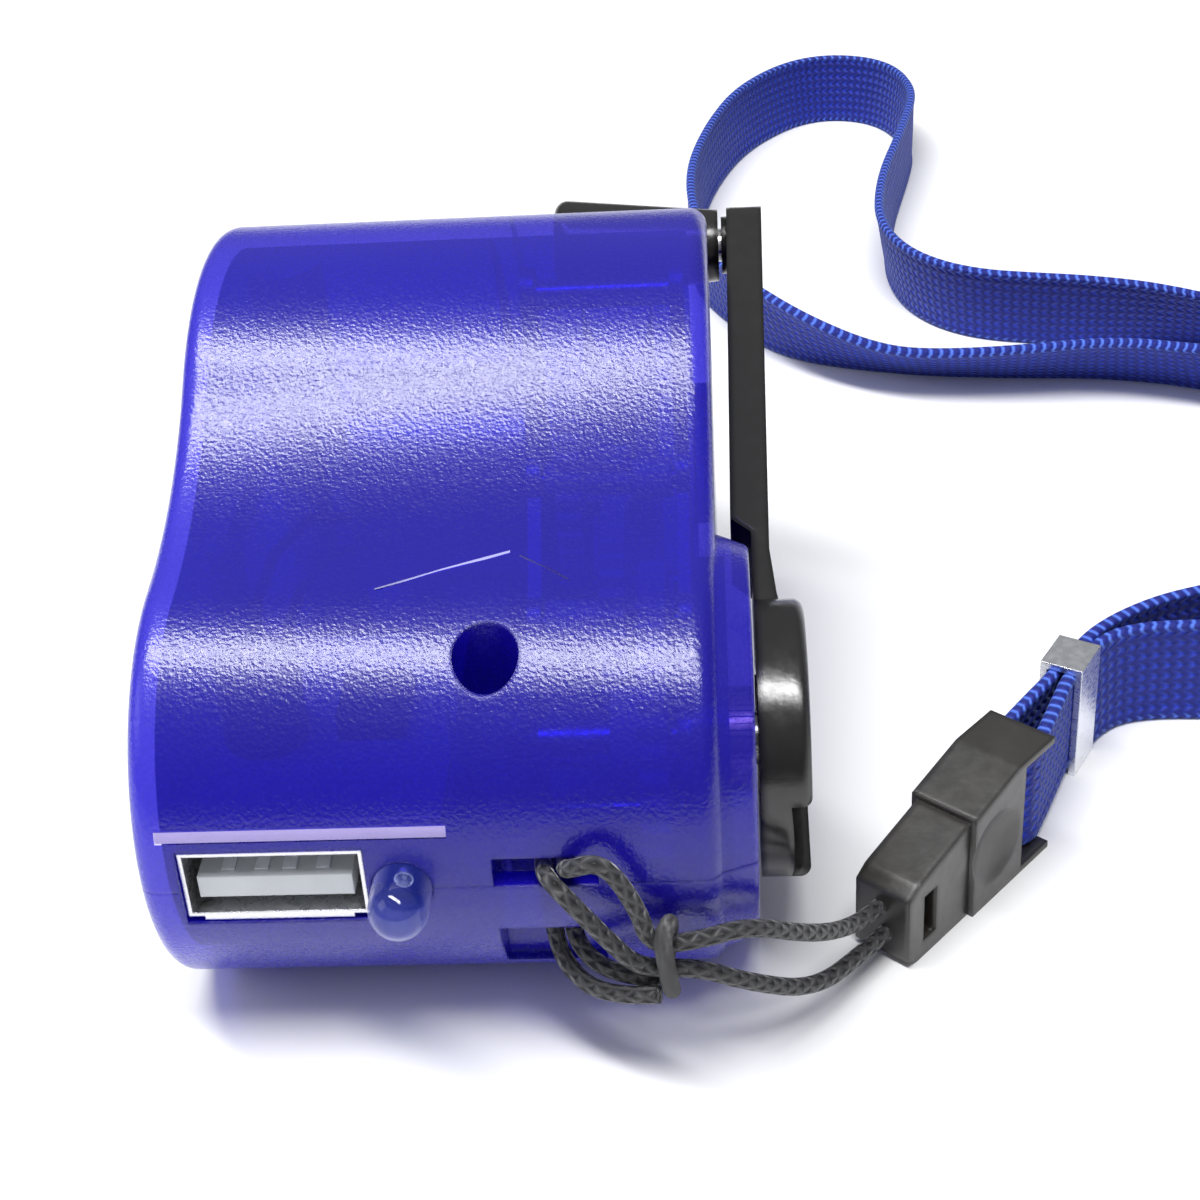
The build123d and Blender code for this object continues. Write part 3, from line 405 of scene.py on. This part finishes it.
def paint_cad():
    """Gives every CAD node its look."""
    shell = shell_material()
    crank = black_plastic("crank_black", 0.20, (0.005, 0.004, 0.004), 2600, 0.8)
    buckle = black_plastic("buckle_black", 0.34, (0.020, 0.018, 0.016), 2200, 1.0)
    steel = metal("plated_steel", (0.72, 0.72, 0.73), 0.28, (1, 1, 6))
    dull = metal("stamped_steel", (0.45, 0.45, 0.47), 0.4, (1, 6, 1))
    brass = metal("turned_brass", (0.78, 0.58, 0.26), 0.3)
    bright = plastic("contact_bright", (0.80, 0.84, 0.90), 0.25)
    tin = metal("crimp_tin", (0.82, 0.83, 0.86), 0.3, (1, 1, 5))
    looks = {
        shell: ["upper_shell", "lower_shell"],
        crank: ["crank_hub", "crank_arm", "crank_knob"],
        buckle: ["buckle_clip", "buckle_body"],
        steel: ["usb_shell", "case_screws", "hub_pin", "knob_screw", "crank_axle", "rotor_shaft",
                "gear_axles", "plate_pillars", "led_leads"],
        dull: ["generator_can", "generator_end_cap", "inner_gear_plate", "outer_gear_plate"],
        brass: ["crank_bush", "rotor_pinion"],
        bright: ["usb_contacts"],
        tin: ["strap_crimp"],
        plastic("tongue_grey", (0.62, 0.65, 0.68), 0.45): ["usb_tongue"],
        plastic("gear_acetal", (0.78, 0.78, 0.72), 0.4): ["drive_gear", "first_gear",
                                                          "second_gear"],
        plastic("capacitor_sleeve", (0.01, 0.02, 0.10), 0.3): ["capacitor"],
        plastic("chip_black", (0.015, 0.015, 0.016), 0.5): ["regulator"],
        plastic("ferrite", (0.05, 0.05, 0.052), 0.5): ["rotor_magnet"],
        plastic("wire_red", (0.42, 0.03, 0.02), 0.4): ["generator_leads"],
        clear_lens(): ["led_lens"],
        board_material(): ["circuit_board"],
        copper_wire(): ["stator_coils"],
    }
    for material, nodes in looks.items():
        for node in nodes:
            paint(node, material)


# ---- curves and ribbons ------------------------------------------------------------
def nurbs(name, points, closed=False):
    """A smooth curve that follows a list of points, given in millimetres."""
    data = bpy.data.curves.new(name, "CURVE")
    data.dimensions = "3D"
    data.resolution_u = 12
    spline = data.splines.new("NURBS")
    spline.points.add(len(points) - 1)
    for point, place in zip(spline.points, points):
        point.co = (place[0] * MM, place[1] * MM, place[2] * MM, 1)
    spline.order_u = 3
    spline.use_endpoint_u = not closed
    spline.use_cyclic_u = closed
    obj = bpy.data.objects.new(name, data)
    bpy.context.collection.objects.link(obj)
    return obj


def route_points(name, points):
    """The points of the smooth curve through a list of control points, in metres."""
    guide = nurbs(name + "_guide", points)
    bpy.context.view_layer.update()
    deps = bpy.context.evaluated_depsgraph_get()
    mesh = bpy.data.meshes.new_from_object(guide.evaluated_get(deps))
    line = [v.co.copy() for v in mesh.vertices]
    bpy.data.meshes.remove(mesh)
    bpy.data.objects.remove(guide)
    return line


def mesh_object(name, verts, faces, uvs=None, smooth=True):
    """A mesh piece; uvs holds one pair for each vertex."""
    mesh = bpy.data.meshes.new(name)
    mesh.from_pydata([tuple(v) for v in verts], [], faces)
    if uvs:
        layer = mesh.uv_layers.new(name="UVMap")
        for loop in mesh.loops:
            layer.data[loop.index].uv = uvs[loop.vertex_index]
    for poly in mesh.polygons:
        poly.use_smooth = smooth
    obj = bpy.data.objects.new(name, mesh)
    bpy.context.collection.objects.link(obj)
    return obj


def lengths_of(line):
    """The length along a line up to each of its points."""
    out = [0.0]
    for a, b in zip(line, line[1:]):
        out.append(out[-1] + (b - a).length)
    return out


def tangent_at(line, i):
    return (line[min(i + 1, len(line) - 1)] - line[max(i - 1, 0)]).normalized()


def frames_of(line):
    """The side direction at each point, carried along so that it never flips."""
    side = tangent_at(line, 0).cross(Vector((0, 0, 1))).normalized()
    out = []
    for i in range(len(line)):
        t = tangent_at(line, i)
        side = (side - t * side.dot(t)).normalized()
        out.append((side, side.cross(t)))
    return out


def swept(name, line, section, angle_at, uv_across):
    """A closed section swept along a line, with end caps; angle_at turns it about the line."""
    at = lengths_of(line)
    verts = []
    uvs = []
    for i, (p, (side, top)) in enumerate(zip(line, frames_of(line))):
        turn = angle_at(at[i] / at[-1])
        a = side * cos(turn) + top * sin(turn)
        b = top * cos(turn) - side * sin(turn)
        for k, (x, y) in enumerate(section):
            verts.append(p + a * x + b * y)
            uvs.append((uv_across(k, x, y), at[i]))
    n = len(section)
    faces = []
    for i in range(len(line) - 1):
        for k in range(n):
            j = (k + 1) % n
            faces.append((i * n + k, i * n + j, (i + 1) * n + j, (i + 1) * n + k))
    faces.append(tuple(reversed(range(n))))
    faces.append(tuple(range((len(line) - 1) * n, len(line) * n)))
    return mesh_object(name, verts, faces, uvs)


def strap_section():
    """The strap's section: flat faces with a raised selvedge along both edges."""
    w = STRAP_W / 2 * MM
    t = STRAP_T / 2 * MM
    steps = [-1.0, -0.93, -0.86, -0.8, -0.4, 0.0, 0.4, 0.8, 0.86, 0.93, 1.0]
    rise = [0.45, 0.95, 0.9, 0.72, 0.78, 0.8, 0.78, 0.72, 0.9, 0.95, 0.45]
    front = [(t * r, w * s) for s, r in zip(steps, rise)]
    back = [(-t * r, w * s) for s, r in zip(reversed(steps), reversed(rise))]
    return front + back


def lean_at(share):
    """The strap's lean in radians at a share of its length, smooth between the listed ones."""
    for (s0, a0), (s1, a1) in zip(LEAN, LEAN[1:]):
        if share <= s1:
            f = (share - s0) / (s1 - s0)
            f = f * f * (3 - 2 * f)
            return radians(a0 + (a1 - a0) * f)
    return 0.0


def make_strap(material):
    """The neck strap's loop, on its edge; its middle rises and sinks as it leans."""
    plan = route_points("neck_strap", [(x, y, STRAP_W / 2) for x, y in STRAP])
    at = lengths_of(plan)
    line = []
    for p, s in zip(plan, at):
        lean = abs(lean_at(s / at[-1]))
        high = (STRAP_W / 2 * cos(lean) + STRAP_T / 2 * sin(lean)) * MM
        line.append(Vector((p.x, p.y, high)))
    width = STRAP_W * MM
    strap = swept("strap", line, strap_section(), lean_at, lambda k, x, y: y / width + 0.5)
    strap.data.materials.append(material)
    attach(strap, "housing")
    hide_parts("neck_strap")


def circle_section(r, sides=16):
    return [(r * cos(2 * pi * k / sides), r * sin(2 * pi * k / sides)) for k in range(sides)]


def make_strand(name, points, material):
    """One strand of the thin cord, from the buckle through the lanyard eye to the knot."""
    line = route_points(name, points)
    section = circle_section(CORD_R * MM)
    n = len(section)
    strand = swept(name, line, section, lambda share: 0.0, lambda k, x, y: k / n)
    strand.data.materials.append(material)
    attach(strand, "housing")
    return strand


def make_knot(material):
    """The bight that is drawn tight round both strands."""
    loop = []
    for k in range(12):
        a = 2 * pi * k / 12
        rise = sin(a)
        parted = KNOT_HALF if rise > 0.01 else -KNOT_HALF if rise < -0.01 else 0
        loop.append((KNOT_AT[0] + KNOT_SKEW * sin(2 * a),
                     KNOT_AT[1] + KNOT_R * KNOT_DEPTH * cos(a),
                     KNOT_AT[2] + KNOT_R * rise + parted))
    knot = nurbs("knot", loop, closed=True)
    knot.data.bevel_depth = CORD_R * MM
    knot.data.bevel_resolution = 5
    knot.data.materials.append(material)
    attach(knot, "housing")
    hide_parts("cord_knot")
    return knot


def make_wrap(material):
    """The strap's end, folded round the buckle's bar and caught in the crimp."""
    low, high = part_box("strap_wrap")
    height = (low[2] + high[2]) / 2 / MM
    reach = dist(BAR_AT, CRIMP_AT)
    mid = BAR_R + STRAP_T / 2
    layer = [(0.6, mid), (6.0, 1.15), (reach - CRIMP_HALF, LAYER), (reach, LAYER)]
    fold = [(mid * cos(pi / 2 + pi * k / 6), mid * sin(pi / 2 + pi * k / 6)) for k in range(7)]
    plan = layer[::-1] + fold + [(x, -y) for x, y in layer]
    places = [from_crimp(x - reach, y) for x, y in plan]
    line = route_points("wrap", [(x, y, height) for x, y in places])
    width = STRAP_W * MM
    wrap = swept("wrap", line, strap_section(), lambda t: 0.0, lambda k, x, y: y / width + 0.5)
    wrap.data.materials.append(material)
    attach(wrap, "housing")
    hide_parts("strap_wrap")


# ---- board's front edge ----------------------------------------------------------------
def make_board_edge():
    """The board's pale front edge, just under the outer face of the front wall."""
    x0, x1, z0, z1 = BOARD_EDGE
    verts = []
    for k in range(9):
        z = z0 + (z1 - z0) * k / 8
        rise = z - FRONT_AT[1]
        y = FRONT_AT[0] - ((FRONT_R - EDGE_DEPTH) ** 2 - rise ** 2) ** 0.5
        y -= EDGE_CROWN * sin(pi * k / 8)
        verts += [(x0 * MM, y * MM, z * MM), (x1 * MM, y * MM, z * MM)]
    faces = [(2 * k, 2 * k + 1, 2 * k + 3, 2 * k + 2) for k in range(8)]
    edge = mesh_object("board_edge", verts, faces)
    edge.data.materials.append(plastic("laminate_edge", (0.62, 0.56, 0.78), 0.5))
    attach(edge, "housing")


# ---- crease in the top ----------------------------------------------------------------
def make_crease():
    """The chevron where the top folds: a raised line with a painted highlight, and a shorter line
    with painted shade.
    """
    # painted highlight: the pale line stands for light caught by the lit arm of the fold
    pale = plastic("crease_painted_highlight", (0.42, 0.42, 0.80), 0.35)
    # painted shade: the dark line stands for shade on the arm that faces away from the lamp
    dark = plastic("crease_painted_shade", (0.012, 0.006, 0.16), 0.4)
    marks = [("crease_1", [(-3.6, -18.46, 32.84), (0.9, -16.41, 32.99), (5.9, -14.50, 33.23)], pale,
              (0.03, 0.16, 0.26)),
             ("crease_2", [(6.6, -14.99, 33.16), (8.5, -16.4, 33.0), (10.3, -17.98, 32.86)], dark,
              (0.16, 0.12, 0.04))]
    for name, points, material, widths in marks:
        verts = []
        for (x, y, z), w in zip(points, widths):
            for dy, dz in ((-w, -CREASE_RISE), (0, CREASE_RISE), (w, -CREASE_RISE)):
                verts.append((x * MM, (y + dy) * MM, (z + dz) * MM))
        faces = [(i + k, i + k + 1, i + k + 4, i + k + 3) for i in (0, 3) for k in (0, 1)]
        crease = mesh_object(name, verts, faces, smooth=False)
        crease.data.materials.append(material)
        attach(crease, "housing")


# ---- lamp's inside -------------------------------------------------------------------
def revolve(name, profile, at, steps=32):
    """A profile of (radius, y) points in millimetres, turned about a line along Y."""
    verts = []
    faces = []
    n = len(profile)
    for k in range(steps):
        a = 2 * pi * k / steps
        for r, y in profile:
            verts.append(((at[0] + r * cos(a)) * MM, (at[1] + y) * MM, (at[2] + r * sin(a)) * MM))
    for k in range(steps):
        j = (k + 1) % steps
        for i in range(n - 1):
            faces.append((k * n + i, k * n + i + 1, j * n + i + 1, j * n + i))
    return mesh_object(name, verts, faces)


def make_lamp_inside():
    """The small cup inside the lens, which throws the light forward."""
    profile = [(0.02, 4.0), (0.25, 4.0), (0.32, 3.8), (0.62, 3.2), (0.70, 3.2), (0.70, 4.2),
               (0.4, 5.2), (0.02, 5.2)]
    cup = revolve("lamp_cup", profile, LAMP_AT)
    cup.data.materials.append(metal("reflector", (0.5, 0.52, 0.62), 0.3))
    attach(cup, "housing")


# ---- stage ------------------------------------------------------------------------------
def make_camera():
    data = bpy.data.cameras.new("camera")
    data.sensor_width = 36.0
    data.lens = LENS
    data.shift_y = SHIFT_Y
    data.clip_start = 0.005
    camera = bpy.data.objects.new("camera", data)
    bpy.context.collection.objects.link(camera)
    side = LOOK.cross(UP).normalized()
    turn = Matrix((side, side.cross(LOOK).normalized(), -LOOK.normalized())).transposed()
    camera.matrix_world = Matrix.Translation(EYE) @ turn.to_4x4()
    bpy.context.scene.camera = camera


def make_light(name, at, toward, size, power):
    """A white area lamp; places and size are in metres, power in watts."""
    data = bpy.data.lights.new(name, "AREA")
    data.shape = "RECTANGLE"
    data.size = size[0]
    data.size_y = size[1]
    data.energy = power
    light = bpy.data.objects.new(name, data)
    bpy.context.collection.objects.link(light)
    aim = Vector(toward) - Vector(at)
    light.rotation_euler = aim.to_track_quat("-Z", "Y").to_euler()
    light.location = at


def make_sky():
    """A pale room, brighter overhead than at eye level."""
    world = bpy.data.worlds.new("world")
    world.use_nodes = True
    tree = world.node_tree
    sky = tree.nodes["Background"]
    place = tree.nodes.new("ShaderNodeTexCoord")
    split = tree.nodes.new("ShaderNodeSeparateXYZ")
    rise = tree.nodes.new("ShaderNodeMapRange")
    for key, value in {"From Min": 0.1, "From Max": 0.9, "To Min": 0.16, "To Max": 0.50}.items():
        rise.inputs[key].default_value = value
    tree.links.new(place.outputs["Generated"], split.inputs["Vector"])
    tree.links.new(split.outputs["Z"], rise.inputs["Value"])
    tree.links.new(rise.outputs["Result"], sky.inputs["Strength"])
    sky.inputs["Color"].default_value = (0.95, 0.97, 1.0, 1)
    return world


def make_stage():
    floor = mesh_object("floor", [(-3, -3, 0), (3, -3, 0), (3, 3, 0), (-3, 3, 0)], [(0, 1, 2, 3)])
    floor.data.materials.append(table_material())
    bpy.context.scene.world = make_sky()
    bpy.context.scene.view_settings.view_transform = "Standard"
    make_light("top", (-0.09, -0.14, 0.90), (0.01, -0.01, 0), (0.85, 0.15), 10.0)
    make_light("left", (-0.5, -0.15, 0.35), (0, 0, 0.02), (0.3, 0.3), 0.4)


def build():
    make_camera()
    strap_look = woven_strap()
    cord_look = braided_cord()
    knot = make_knot(cord_look)
    first = make_strand("strand_1", STRAND_1, cord_look)
    make_strand("strand_2", STRAND_2, cord_look)
    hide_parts("lanyard_cord")
    make_strap(strap_look)
    make_wrap(strap_look)
    paint_cad()
    make_board_edge()
    make_crease()
    make_lamp_inside()
    make_stage()


build()
